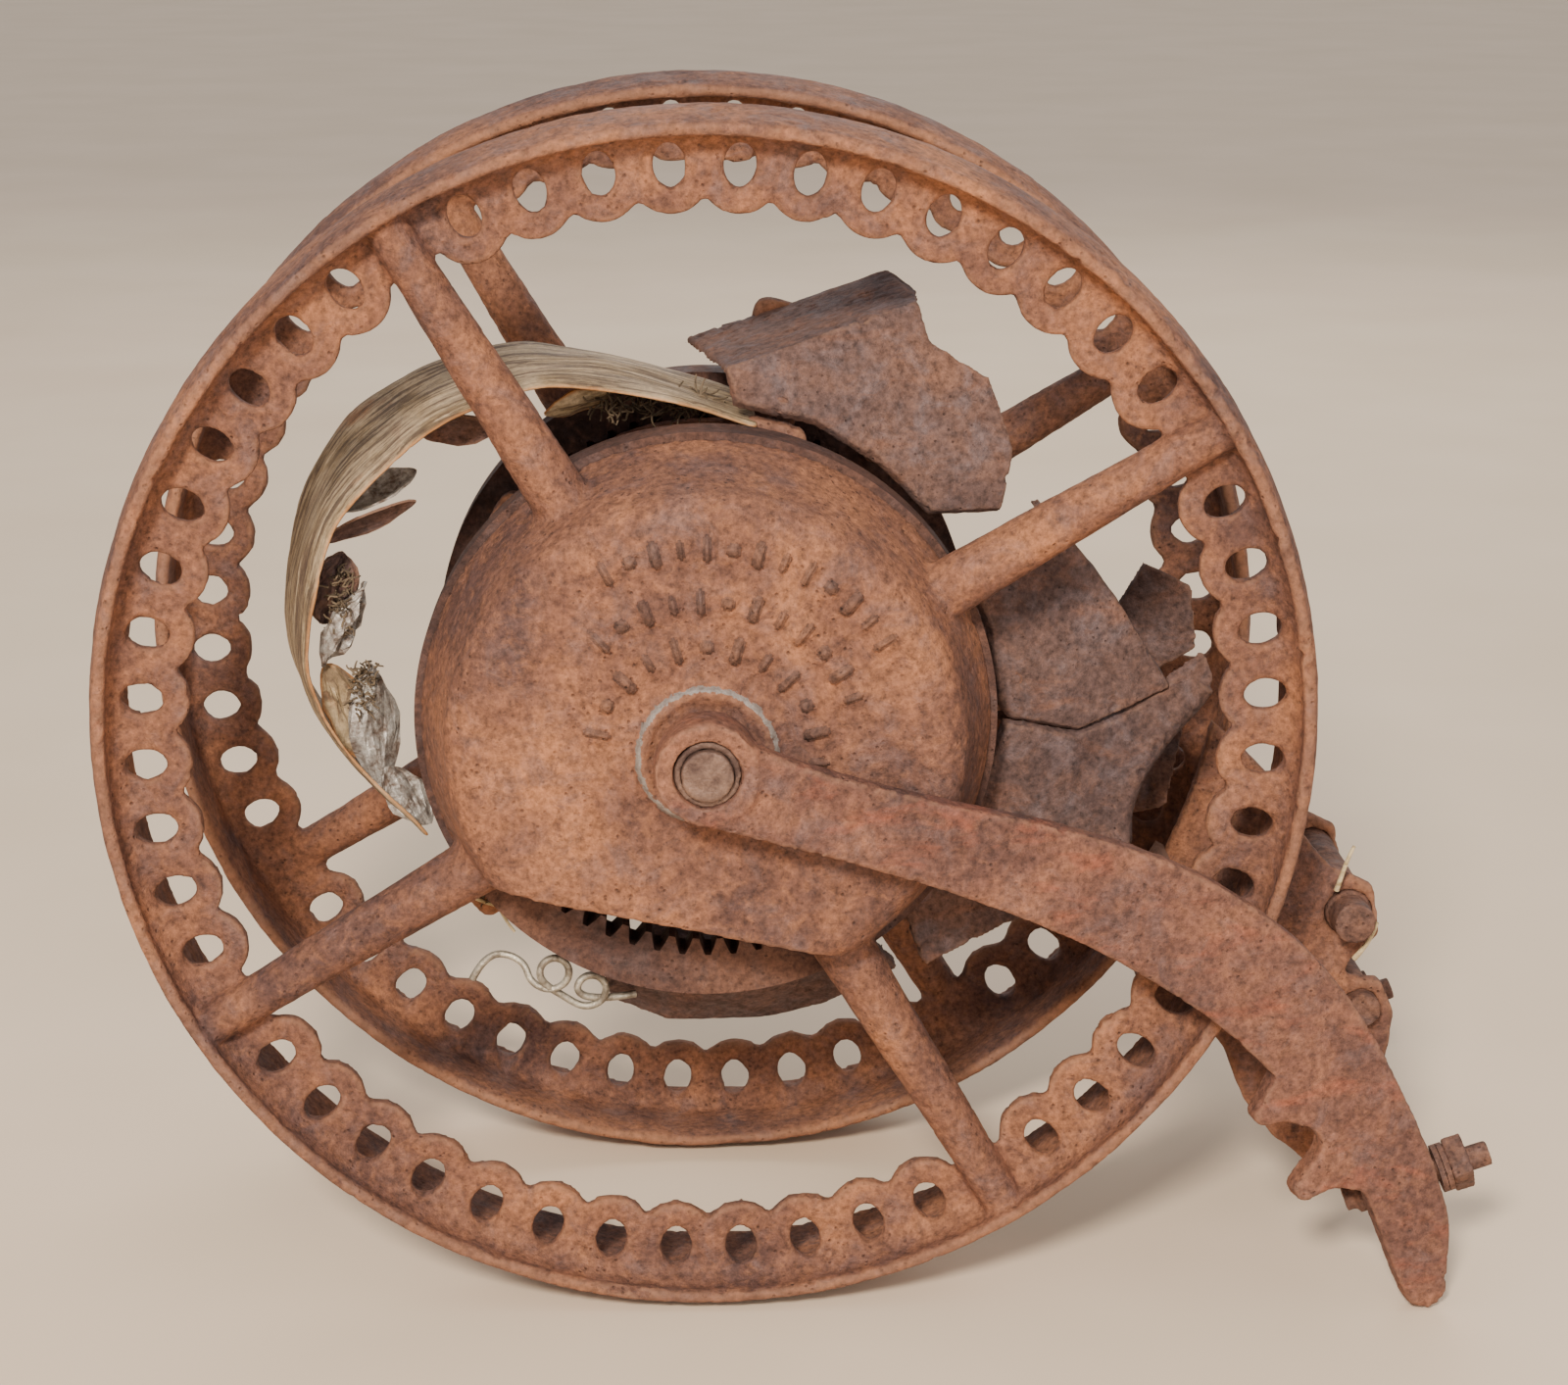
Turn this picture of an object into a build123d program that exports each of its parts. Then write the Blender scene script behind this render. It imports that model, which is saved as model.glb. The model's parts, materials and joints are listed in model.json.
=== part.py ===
"""Head of an antique two-wheeled hand mower: cast wheels, internal gears, reel and notched arms.

Millimetres, +Z up.  The two wheels stand on Z = 0, the axle runs along Y, the arms trail towards +X.
Shapes are drawn about the axle and moved to the part's frame when they are written.
Side parts are drawn on the +Y (far) side, with s = distance outwards from the middle plane, and
mirrored for the near side.
"""
import math
import os

from build123d import *

os.makedirs("parts", exist_ok=True)

# ------------------------------------------------------------------ driving dimensions
WHEEL_RADIUS = 152.4          # 12 inch wheel
AXLE_X = -24.76               # axle position in the part's frame
AXLE_Z = WHEEL_RADIUS
AXLE_RADIUS = 6.3
RUNNING_RADIUS = 6.35         # bores that turn on the axle
AXLE_HALF = 101.0

WEB_OUT = 60.0                # outer face of the perforated web
WEB_IN = 56.0
LIP_OUT = 71.0                # outer edge of the rim
BAND_IN = 33.0                # inner edge of the tread band
HOLE_CIRCLE = 139.0
LOBE_CIRCLE = 137.0
LOBE_RADIUS = 9.7
HOLE_RADIAL = 5.4             # half axes of the oval holes
HOLE_TANGENT = 3.9
HOLE_PITCHES = 52             # 48 holes and 4 spokes
SPOKES = 4
SPOKE_ANGLE = 31.0

DRUM_FACE = 82.0
DRUM_OPEN = 50.0              # open end of the drum, where the ring gear sits
DRUM_CUT = 45.0               # distance of the cut-off segment from the axle
DRUM_CUT_ANGLE = -102.0
BOSS_RADIUS = 15.4
BOSS_IN = 57.0

MODULE = 2.0
RING_TEETH = 60
SMALL_TEETH = 20              # sun pinion and idler
GEAR_IN = 38.0
GEAR_CLEAR = 0.5              # side clearance of the small gears
IDLER_DISTANCE = MODULE * SMALL_TEETH
IDLER_ANGLE = 78.0
BACKLASH = 0.25
RING_OUTER = 73.0
GEAR_RIVET_CIRCLE = 68.5
CARRIER_IN = 51.0
CARRIER_OUT = 55.0
STUD_RADIUS = 5.0

REEL_HEAD_IN = 26.0
REEL_HEAD_OUT = 32.0
TUBE_RADIUS = 9.5
BLADE_STEP = 72.0             # angle between the ears of a reel head
BLADE_ANGLE = 76.0
NEAR_EARS = (74, 84, 84, 82, 68)   # reach of each ear, from the top blade clockwise
FAR_EARS = (96, 84, 88, 80, 68)
RIVET_CIRCLE = 79.0
WIRE_RADIUS = 0.85

ARM_FRONT = 100.0             # outer face of an arm at the axle
ARM_THICK = 7.5
ARM_SLOPE = 8.0               # degrees that an arm leans in towards its tail
EYE_RADIUS = 12.6
EYE_BORE = 8.0
EYE_BACK = 85.5

BRACKET_IN = 24.0
BRACKET_OUT = 29.0
KNIFE_ANGLE = -30.0
KNIFE_RADIUS = 138.3
KNIFE_THICK = 2.5
HANDLE_ROD = (168.5, -60.0)   # X, Z about the axle
HANDLE_SHOULDER = 6.2         # radius between the side plates; the free ends are thinner
HANDLE_END = 5.4
LOWER_ROD = (173.0, -86.0)
TAIL_ROD = (168.0, -110.0)
TAIL_BOLT = (181.5, -121.0)
TAIL_BOLT_TILT = 19.0
TAIL_BOLT_S = 61.0


# ------------------------------------------------------------------ helpers
def polar(radius, angle):
    """Point X, Z at a radius and an angle from +X towards +Z."""
    turn = math.radians(angle)
    return radius * math.cos(turn), radius * math.sin(turn)


def prism(sketch, low, high):
    """Extrude a sketch drawn in X, Z from Y = low to Y = high."""
    return extrude(Plane.XZ.offset(-high) * sketch, amount=high - low)


def rod(radius, low, high, centre=(0.0, 0.0)):
    """Round bar along Y."""
    middle = (centre[0], (low + high) / 2, centre[1])
    return Pos(*middle) * Rot(90, 0, 0) * Cylinder(radius, high - low)


def ring(outer, inner, low, high, centre=(0.0, 0.0)):
    """Round tube or washer along Y."""
    return rod(outer, low, high, centre) - rod(inner, low - 1, high + 1, centre)


def turned(shape, angle):
    """Turn a shape about the axle, from +X towards +Z."""
    return Rot(0, -angle, 0) * shape


def write(name, shape):
    """Move a shape from the axle to the part's frame and write it."""
    placed = Pos(AXLE_X, 0, AXLE_Z) * shape
    placed.label = name
    export_step(placed, "parts/" + name + ".step")


def write_pair(name, shape):
    """Write a side part as far_NAME, and its mirror image as near_NAME."""
    write("far_" + name, shape)
    write("near_" + name, mirror(shape, about=Plane.XZ))


def gear_outline(teeth, tip, root, widen):
    """Involute teeth as a closed outline, with one tooth centred on +X."""
    pitch_radius = MODULE * teeth / 2
    base_radius = pitch_radius * math.cos(math.radians(20))

    def involute(radius):
        if radius <= base_radius:
            return 0.0
        pressure = math.acos(base_radius / radius)
        return math.tan(pressure) - pressure

    points = []
    steps = 4
    for tooth in range(teeth):
        middle = 2 * math.pi * tooth / teeth
        flank = []
        for step in range(steps + 1):
            radius = root + (tip - root) * step / steps
            half = math.pi / (2 * teeth) + widen / (2 * pitch_radius)
            half += involute(pitch_radius) - involute(radius)
            flank.append((radius, half))
        for radius, half in flank:
            points.append((radius * math.cos(middle - half), radius * math.sin(middle - half)))
        for radius, half in reversed(flank):
            points.append((radius * math.cos(middle + half), radius * math.sin(middle + half)))
    return make_face(Polyline(*points, close=True))


def folded_plate(points, triangles, direction):
    """Thick sheet made of flat triangles, pushed through along one direction."""
    depth = math.hypot(*direction)
    plate = None
    for corners in triangles:
        face = make_face(Polyline(*[points[name] for name in corners], close=True))
        piece = extrude(face, amount=depth, dir=direction)
        plate = piece if plate is None else plate + piece
    return plate


# ------------------------------------------------------------------ wheel castings
def rim():
    """Crowned tread band with a rolled outer lip, as a turned ring."""
    profile = [
        ThreePointArc((149.8, LIP_OUT - 0.9), (WHEEL_RADIUS, 52), (150.2, BAND_IN)),
        ThreePointArc((150.2, BAND_IN), (148.5, BAND_IN - 1.6), (146.8, BAND_IN)),
        Line((146.8, BAND_IN), (147.6, 52)),
        ThreePointArc((147.6, 52), (146.2, 55.2), (143, WEB_IN)),
        Line((143, WEB_IN), (141, WEB_IN)),
        Line((141, WEB_IN), (141, WEB_OUT)),
        Line((141, WEB_OUT), (143.2, WEB_OUT)),
        ThreePointArc((143.2, WEB_OUT), (145.9, 62.4), (146.9, 68)),
        ThreePointArc((146.9, 68), (147.9, LIP_OUT), (149.8, LIP_OUT - 0.9)),
    ]
    return revolve(make_face(profile), Axis.Y)


def hole_places(circle):
    """Places on a circle: one per pitch, none at the spokes."""
    places = []
    for pitch in range(HOLE_PITCHES):
        if pitch % (HOLE_PITCHES // SPOKES) != 0:
            turn = SPOKE_ANGLE + 360 * pitch / HOLE_PITCHES
            places.append(Rot(0, 0, turn) * Pos(circle, 0))
    return places


def scalloped_web():
    """Web whose inner edge has one round lobe per hole."""
    web = Circle(HOLE_CIRCLE + 5) - Circle(LOBE_CIRCLE - 3)
    for place in hole_places(LOBE_CIRCLE):
        web += place * Circle(LOBE_RADIUS)
    web -= Circle(HOLE_CIRCLE + 30) - Circle(HOLE_CIRCLE + 6)
    return prism(web, WEB_IN, WEB_OUT)


def holes():
    """Cutter for the oval holes of the web."""
    ovals = [place * Ellipse(HOLE_RADIAL, HOLE_TANGENT) for place in hole_places(HOLE_CIRCLE)]
    return [prism(oval, WEB_IN - 2, WEB_OUT + 3) for oval in ovals]


def spoke():
    """Rounded bar from the drum to the lip, along +X."""
    sections = []
    for reach, middle, tangent, axial in ((62, 60, 7.6, 8), (108, 60.5, 6.2, 6.8), (147.2, 62.5, 5.2, 5.4)):
        plane = Plane(origin=(reach, middle, 0), x_dir=(0, 0, 1), z_dir=(1, 0, 0))
        sections.append(plane * Ellipse(tangent, axial))
    return loft(sections)


def drum():
    """Bell-shaped gear drum with a cut-off segment, a boss and generic raised marks."""
    profile = [
        Line((0, DRUM_FACE), (55.5, DRUM_FACE)),
        ThreePointArc((55.5, DRUM_FACE), (61.6, 79.4), (64, 74)),
        Line((64, 74), (71.5, DRUM_OPEN)),
        Line((71.5, DRUM_OPEN), (67.2, DRUM_OPEN)),
        Line((67.2, DRUM_OPEN), (60.2, 73)),
        ThreePointArc((60.2, 73), (58.6, 76.6), (55, 78)),
        Line((55, 78), (0, 78)),
        Line((0, 78), (0, DRUM_FACE)),
    ]
    shell = revolve(make_face(profile), Axis.Y)
    segment = Pos(DRUM_CUT + 50, (DRUM_OPEN + 100) / 2 - 0.5, 0) * Box(100, 101 - DRUM_OPEN, 200)
    shell -= turned(segment, DRUM_CUT_ANGLE)
    shell += rod(BOSS_RADIUS, BOSS_IN, DRUM_FACE + 1)
    shell += ring(17, 14.6, DRUM_FACE - 1, DRUM_FACE + 2.4)
    return shell


def raised_marks():
    """Three arcs of plain raised bars on the drum face."""
    marks = []
    for radius, first, last, count in ((51, 118, 33, 13), (38, 132, 22, 12), (27, 168, -4, 12)):
        for index in range(count):
            angle = first + (last - first) * index / (count - 1)
            width = (3.6, 1.8, 2.6)[index % 3]
            bar = RectangleRounded(5.6, width, 0.8)
            marks.append(Rot(0, 0, angle) * Pos(radius, 0) * bar)
    return [prism(mark, DRUM_FACE - 1, DRUM_FACE + 0.9) for mark in marks]


def wheel():
    casting = rim() + scalloped_web() - holes() + drum()
    for index in range(SPOKES):
        casting += turned(spoke(), SPOKE_ANGLE + 360 / SPOKES * index)
    inside = revolve(make_face(Polyline((0, 30), (67.2, 30), (67.2, DRUM_OPEN), (60.2, 73), (55, 78),
                                        (BOSS_RADIUS, 78), (BOSS_RADIUS, BOSS_IN), (0, BOSS_IN),
                                        close=True)), Axis.Y)
    casting -= inside
    casting += raised_marks()
    casting -= rod(RUNNING_RADIUS, BOSS_IN - 5, DRUM_FACE + 10)
    return casting - gear_rivets()


def gear_rivets():
    """Rivets that hold the ring gear to the open end of the drum."""
    rivets = []
    for angle in (-12, 48, 108, 168):
        centre = polar(GEAR_RIVET_CIRCLE, angle)
        rivets.append(rod(1.4, GEAR_IN, DRUM_OPEN + 4, centre) + rod(2.6, GEAR_IN - 1.4, GEAR_IN, centre))
    return rivets


# ------------------------------------------------------------------ gears
def ring_gear():
    pitch_radius = MODULE * RING_TEETH / 2
    space = gear_outline(RING_TEETH, pitch_radius + 1.25 * MODULE, pitch_radius - 0.95 * MODULE, BACKLASH)
    blank = Circle(RING_OUTER) - Rot(0, 0, IDLER_ANGLE) * space
    return prism(blank, GEAR_IN, DRUM_OPEN) - gear_rivets()


def small_gear(phase, bore):
    pitch_radius = MODULE * SMALL_TEETH / 2
    teeth = gear_outline(SMALL_TEETH, pitch_radius + 0.95 * MODULE, pitch_radius - 1.25 * MODULE, -BACKLASH)
    sketch = Rot(0, 0, phase) * teeth - Circle(bore)
    return prism(sketch, GEAR_IN + GEAR_CLEAR, DRUM_OPEN - GEAR_CLEAR)


def idler():
    x, z = polar(IDLER_DISTANCE, IDLER_ANGLE)
    return Pos(x, 0, z) * small_gear(IDLER_ANGLE, STUD_RADIUS + 0.05)


def sun_pinion():
    half_tooth = 180 / SMALL_TEETH
    return small_gear(IDLER_ANGLE + half_tooth, TUBE_RADIUS) - drive_key()


def drive_key():
    """Key that carries the pinion's turn to the reel tube."""
    return Pos(0, (GEAR_IN + DRUM_OPEN) / 2, -TUBE_RADIUS) * Box(4, DRUM_OPEN - GEAR_IN - 2 * GEAR_CLEAR, 4)


def carrier():
    """Fixed arm on the axle that holds the idler's stud."""
    centre = polar(IDLER_DISTANCE, IDLER_ANGLE)
    hub = Circle(14) + Pos(*centre) * Circle(10)
    arm = Rot(0, 0, IDLER_ANGLE) * Pos(IDLER_DISTANCE / 2, 0) * Rectangle(IDLER_DISTANCE, 18)
    plate = hub + arm - Circle(AXLE_RADIUS) - Pos(*centre) * Circle(STUD_RADIUS - 1)
    return prism(plate, CARRIER_IN, CARRIER_OUT)


def idler_stud():
    centre = polar(IDLER_DISTANCE, IDLER_ANGLE)
    stud = rod(STUD_RADIUS, GEAR_IN, CARRIER_IN, centre)
    stud += rod(STUD_RADIUS - 1, CARRIER_IN, CARRIER_OUT + 0.8, centre)
    return stud + rod(7.5, GEAR_IN - 1.6, GEAR_IN + 0.2, centre)


# ------------------------------------------------------------------ reel
def reel_tube():
    tube = ring(TUBE_RADIUS, RUNNING_RADIUS, -DRUM_OPEN + GEAR_CLEAR, DRUM_OPEN - GEAR_CLEAR)
    return tube - drive_key() - mirror(drive_key(), about=Plane.XZ)


def reel_head(ear_lengths):
    """Disc with an ear for the root of each blade, on a short hub."""
    disc = Circle(62)
    for index, length in enumerate(ear_lengths):
        ear = Pos(length / 2, 0) * RectangleRounded(length, 18, 4)
        disc += Rot(0, 0, BLADE_ANGLE - BLADE_STEP * index) * ear
    head = prism(disc, REEL_HEAD_IN, REEL_HEAD_OUT) + rod(16, REEL_HEAD_IN - 8, REEL_HEAD_OUT + 4)
    return head - rod(TUBE_RADIUS, 0, DRUM_OPEN)


def top_blade():
    points = {
        "root_right": (57, -35, 50), "root_mid": (44, -35, 63), "root_left": (28, -35, 73),
        "root_end": (8, -35, 78), "heel": (75, -33, 50), "shoulder": (78, -31, 65),
        "step_out": (72, -26, 82), "step_in": (57, -24, 91), "fold_right": (54, -22, 101),
        "fold_left": (6, -33, 86), "far_left": (-4, 29, 84), "far_mid": (40, 29, 99),
        "far_right": (49, 29, 102), "side": (56, 14, 98),
    }
    triangles = [
        ("root_right", "heel", "shoulder"), ("root_right", "shoulder", "root_mid"),
        ("root_mid", "shoulder", "step_out"), ("root_mid", "step_out", "step_in"),
        ("root_mid", "step_in", "fold_right"), ("root_mid", "fold_right", "root_left"),
        ("root_left", "fold_right", "fold_left"), ("root_left", "fold_left", "root_end"),
        ("fold_left", "fold_right", "far_left"), ("fold_right", "far_mid", "far_left"),
        ("fold_right", "far_right", "far_mid"), ("fold_right", "side", "far_right"),
    ]
    return folded_plate(points, triangles, (-0.8, 2.9, -2.0))


def right_blade():
    points = {
        "root_top": (66, -35, 37), "root_mid": (73, -35, 19), "root_low": (75, -35, 1),
        "corner": (79, -35, -4), "low": (96, -33, -8), "tip": (120, -26, 1), "edge": (104, -27, 27),
        "edge_top": (89, -29, 46), "neck": (77, -32, 46), "fold_top": (84, -31, 36),
        "far_tip": (115, -2, 9), "far_edge": (101, -2, 29), "far_top": (87, -2, 46),
    }
    triangles = [
        ("root_top", "neck", "fold_top"), ("neck", "edge_top", "fold_top"),
        ("root_top", "fold_top", "root_mid"), ("root_mid", "fold_top", "low"),
        ("root_mid", "low", "root_low"), ("root_low", "low", "corner"),
        ("fold_top", "edge_top", "edge"), ("fold_top", "edge", "low"), ("low", "edge", "tip"),
        ("edge_top", "far_top", "edge"), ("edge", "far_top", "far_edge"),
        ("edge", "far_edge", "tip"), ("tip", "far_edge", "far_tip"),
    ]
    return folded_plate(points, triangles, (-1.8, 2.9, -1.3))


def twisted_blade():
    points = {
        "centre": (90, -34, -30), "top_left": (77, -35, -6), "top": (95, -33, -10),
        "crest": (109, -28, -6), "crest_out": (119, -25, 1), "tip_top": (130, -23, 8),
        "tip": (132, -23, 2), "under_tip": (128, -24, -6), "hollow": (118, -27, -15),
        "hollow_low": (111, -30, -22), "side": (108, -32, -38), "low_right": (95, -33, -51),
        "low": (79, -34, -60), "low_left": (57, -34, -72), "root_low": (52, -35, -58),
        "root": (68, -35, -34), "far_right": (96, 29, -52), "far_low": (74, 29, -70),
    }
    rim_names = ["top_left", "top", "crest", "hollow_low", "side", "low_right", "low", "low_left",
                 "root_low", "root", "top_left"]
    triangles = [("centre", first, second) for first, second in zip(rim_names, rim_names[1:])]
    triangles += [
        ("crest", "hollow", "hollow_low"), ("crest", "crest_out", "hollow"),
        ("crest_out", "under_tip", "hollow"), ("crest_out", "tip_top", "under_tip"),
        ("tip_top", "tip", "under_tip"), ("side", "far_right", "low_right"),
        ("low_right", "far_right", "far_low"), ("low_right", "far_low", "low"),
    ]
    plate = folded_plate(points, triangles, (-1.4, 2.9, 1.4))
    path = Spline((107, -31, -40), (108, -29, -28), (113, -27, -17), (121, -24, -8), (129, -22, 1))
    start = Plane(origin=path @ 0, z_dir=path % 0)
    ridge = sweep(start * Circle(3.6), path=path)
    return plate + ridge


def rear_blade():
    points = {
        "root_top": (74, 23, 14), "root_low": (74, 23, -16), "neck": (110, 8, 13),
        "top": (117, 4, 27), "top_out": (129, 2, 21), "out": (131, 2, 4), "waist": (121, 4, -2),
        "low_out": (129, 2, -14), "inner": (115, 4, -30), "toe": (124, 2, -40), "low": (112, 6, -44),
    }
    triangles = [
        ("root_top", "neck", "waist"), ("neck", "top", "top_out"), ("neck", "top_out", "out"),
        ("neck", "out", "waist"), ("root_top", "waist", "root_low"), ("root_low", "waist", "inner"),
        ("waist", "low_out", "inner"), ("low_out", "toe", "inner"), ("root_low", "inner", "low"),
        ("inner", "toe", "low"),
    ]
    return folded_plate(points, triangles, (-0.6, 3.0, 0))


def bottom_blade():
    points = {
        "root_left": (-26, -35, -71), "root": (6, -35, -77), "root_right": (42, -35, -65),
        "left_top": (-27, -27, -78), "left": (-26, -20, -85), "low_left": (-11, -18, -92),
        "low_right": (14, -18, -92), "right": (31, -18, -88), "right_end": (50, -24, -76),
        "far_left": (-16, 29, -82), "far_mid": (12, 29, -88), "far_right": (40, 29, -80),
    }
    triangles = [
        ("root_left", "left_top", "root"), ("left_top", "left", "root"),
        ("root", "left", "low_left"), ("root", "low_left", "low_right"),
        ("root", "low_right", "root_right"), ("root_right", "low_right", "right"),
        ("root_right", "right", "right_end"), ("low_left", "far_left", "low_right"),
        ("low_right", "far_left", "far_mid"), ("low_right", "far_mid", "right"),
        ("right", "far_mid", "far_right"), ("right", "far_right", "right_end"),
    ]
    return folded_plate(points, triangles, (0, 2.9, 1.8))


STRIP_NEAR = [(13, 73), (-29, 84), (-60, 77), (-87, 57), (-101, 28), (-99, -4), (-72, -37)]
STRIP_FAR = [(10, 70), (-29, 82), (-63, 83), (-97, 64), (-113, 30), (-111, -8), (-86, -40)]
STRIP_CENTRE = (-42, 22)
STRIP_THICK = 1.3


def towards_centre(point, distance):
    dx, dz = STRIP_CENTRE[0] - point[0], STRIP_CENTRE[1] - point[1]
    length = math.hypot(dx, dz)
    return point[0] + dx * distance / length, point[1] + dz * distance / length


def band_face(points, y):
    """Thin curved band in the plane Y = y."""
    inner = [towards_centre(point, STRIP_THICK) for point in points]
    edges = [
        Spline(*points),
        Line(points[-1], inner[-1]),
        Spline(*reversed(inner)),
        Line(inner[0], points[0]),
    ]
    return Plane.XZ.offset(-y) * make_face(edges)


def curved_strip():
    """Thin bowed band whose two ends are held by the reel heads."""
    return loft([band_face(STRIP_NEAR, -35.5), band_face(STRIP_FAR, 25.5)], ruled=True)


def strip_tabs():
    """Small half-round tabs that stand on the inside of the curved strip."""
    tabs = []
    for x, z, radius, y in ((-31, 82, 11, -24), (-63, 76, 12, -26), (-88, 54, 14, -28),
                            (-99, 24, 13, -27), (-96, -10, 14, -26)):
        angle = math.degrees(math.atan2(STRIP_CENTRE[1] - z, STRIP_CENTRE[0] - x))
        half = Circle(radius) & Pos(radius / 2, 0) * Rectangle(radius, 2 * radius)
        tab = prism(Rot(0, 0, angle) * half, -0.7, 0.7)
        tabs.append(Pos(x, y, z) * Rot(0, 0, 14) * tab)
    return tabs


def blade_rivets():
    """Round-headed rivets through the blade roots and the ears of the near reel head."""
    rivets = []
    for index in (0, 1, 3):
        centre = polar(RIVET_CIRCLE, BLADE_ANGLE - BLADE_STEP * index)
        shank = rod(2, -REEL_HEAD_OUT - 2.2, -REEL_HEAD_IN + 1.5, centre)
        rivets.append(shank + rod(3.6, -REEL_HEAD_IN, -REEL_HEAD_IN + 1.6, centre))
    return rivets


def loose_pin():
    """Round-ended pin left in the bottom blade."""
    return Pos(-19, -24, -76) * Rot(0, 88, 0) * (Cylinder(2.7, 10) + Pos(0, 0, 5) * Sphere(2.7)
                                                + Pos(0, 0, -5) * Sphere(2.7))


def wire_hook():
    """Galvanised wire with two open coils, whose end lies below the loose pin."""
    points = [(-61, -32, -74), (-55, -32, -66.5), (-48, -32, -69)]
    steps = 7
    for index, (x, z) in enumerate(((-40, -67), (-31, -71.5))):
        for step in range(steps):
            along = index * steps + step
            px, pz = polar(4.2, 215 + 360 * step / steps)
            drift = step / steps
            points.append((x + px + 9 * drift - 4, -34.5 + 0.42 * along, z + pz - 4.5 * drift + 2))
    points += [(-27, -29, -78.5), (-19, -29, -80.5)]
    path = Spline(*points)
    start = Plane(origin=path @ 0, z_dir=path % 0)
    return sweep(start * Circle(WIRE_RADIUS), path=path)


# ------------------------------------------------------------------ arms and frame
def arm_outline():
    """Outline of an arm in its own plane: X along the arm, Y up."""
    return [
        Spline((8, 8), (62, -11), (112, -27), (155, -58), (180, -99), (191, -131), (190.5, -144)),
        ThreePointArc((190.5, -144), (187, -151.6), (180, -148)),
        Spline((180, -148), (175.5, -138), (168, -119)),
        ThreePointArc((168, -119), (160, -117.2), (153, -120)),
        ThreePointArc((153, -120), (149.6, -118.6), (149.6, -114.6)),
        Line((149.6, -114.6), (154, -109)),
        ThreePointArc((154, -109), (155.6, -104), (152, -100)),
        Line((152, -100), (146, -98)),
        Line((146, -98), (140.5, -98.6)),
        ThreePointArc((140.5, -98.6), (138, -97.4), (138.3, -94.4)),
        Line((138.3, -94.4), (143, -85.5)),
        Spline((143, -85.5), (105, -55), (71, -37.5), (18, -18.5), (-4, -12)),
        Line((-4, -12), (8, 8)),
    ]


def tail_bolt_frame():
    """Location on the bolt's axis at the arm's tail, with its local Z along the bolt."""
    return Pos(TAIL_BOLT[0], TAIL_BOLT_S, TAIL_BOLT[1]) * Rot(0, 90 - TAIL_BOLT_TILT, 0)


def arm():
    """Far arm: curved flat bar with a round eye, two hooks and a lug for the tail bolt."""
    lean = math.radians(ARM_SLOPE)
    plane = Plane(origin=(0, ARM_FRONT, 0), x_dir=(math.cos(lean), -math.sin(lean), 0),
                  z_dir=(-math.sin(lean), -math.cos(lean), 0))
    sketch = plane * make_face(arm_outline())
    bar = extrude(sketch, amount=ARM_THICK)
    bar += rod(EYE_RADIUS, EYE_BACK, ARM_FRONT)
    lug = Pos(179, 63, -120) * Rot(0, -TAIL_BOLT_TILT, 0) * Box(13, 16, 15)
    bar += lug
    bar -= rod(EYE_BORE, EYE_BACK - 5, ARM_FRONT + 5)
    bar -= tail_bolt_frame() * Cylinder(3.2, 60)
    return bar - rod(5.0, 0, ARM_FRONT - 30, TAIL_ROD)


def tail_bolt():
    shank = Pos(0, 0, 1) * Cylinder(3.2, 39)
    return tail_bolt_frame() * (shank + Pos(0, 0, -13) * Cylinder(4.6, 5))


def tail_washers():
    washer = Cylinder(6.3, 1.4) - Cylinder(3.2, 3)
    return [tail_bolt_frame() * Pos(0, 0, offset) * washer for offset in (7.2, 8.8)]


def tail_nut():
    nut = extrude(RegularPolygon(5.6, 4, major_radius=False), amount=5.2) - Cylinder(3.2, 20)
    return tail_bolt_frame() * Pos(0, 0, 9.6) * nut


def bracket():
    """Inner side plate of the frame, just outside the reel's sweep."""
    arc_end = polar(141, -37.5)
    arc_mid = polar(141, -22)
    arc_start = polar(141, -9)
    edges = [
        ThreePointArc(arc_end, arc_mid, arc_start),
        Polyline(arc_start, (152, -34), (163, -47), (175, -53), (177, -66), (169, -74), (168, -78),
                 (178, -79), (182, -88), (180, -104), (172, -122), (162, -132), (151, -123),
                 (143, -113), (137, -98), (131, -90), arc_end),
    ]
    plate = prism(make_face(edges), BRACKET_IN, BRACKET_OUT)
    for centre, radius in ((HANDLE_ROD, HANDLE_SHOULDER), (LOWER_ROD, 4.5), (TAIL_ROD, 5.0)):
        plate -= rod(radius, 0, 50, centre)
    return plate - knife_blank() - knife_screws()


def knife_blank():
    blank = Pos(KNIFE_RADIUS + KNIFE_THICK / 2, 0, 0) * Box(KNIFE_THICK, 62, 24)
    return turned(blank, KNIFE_ANGLE)


def knife_screws():
    screws = []
    for y in (-26.5, 26.5):
        for z in (-7.0, 7.0):
            screw = Pos(KNIFE_RADIUS + 6, y, z) * Rot(0, 90, 0) * Cylinder(1.4, 12)
            head = Pos(KNIFE_RADIUS + 0.9, y, z) * Rot(0, 90, 0) * Cone(2.9, 1.4, 1.8)
            screws.append(turned(screw + head, KNIFE_ANGLE))
    return screws


def bed_knife():
    return knife_blank() - knife_screws()


def thrust_washer():
    return ring(11, RUNNING_RADIUS, CARRIER_OUT + 0.2, BOSS_IN - 0.2)


def tube_washer():
    return ring(10.5, AXLE_RADIUS, DRUM_OPEN - GEAR_CLEAR + 0.3, CARRIER_IN)


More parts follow.
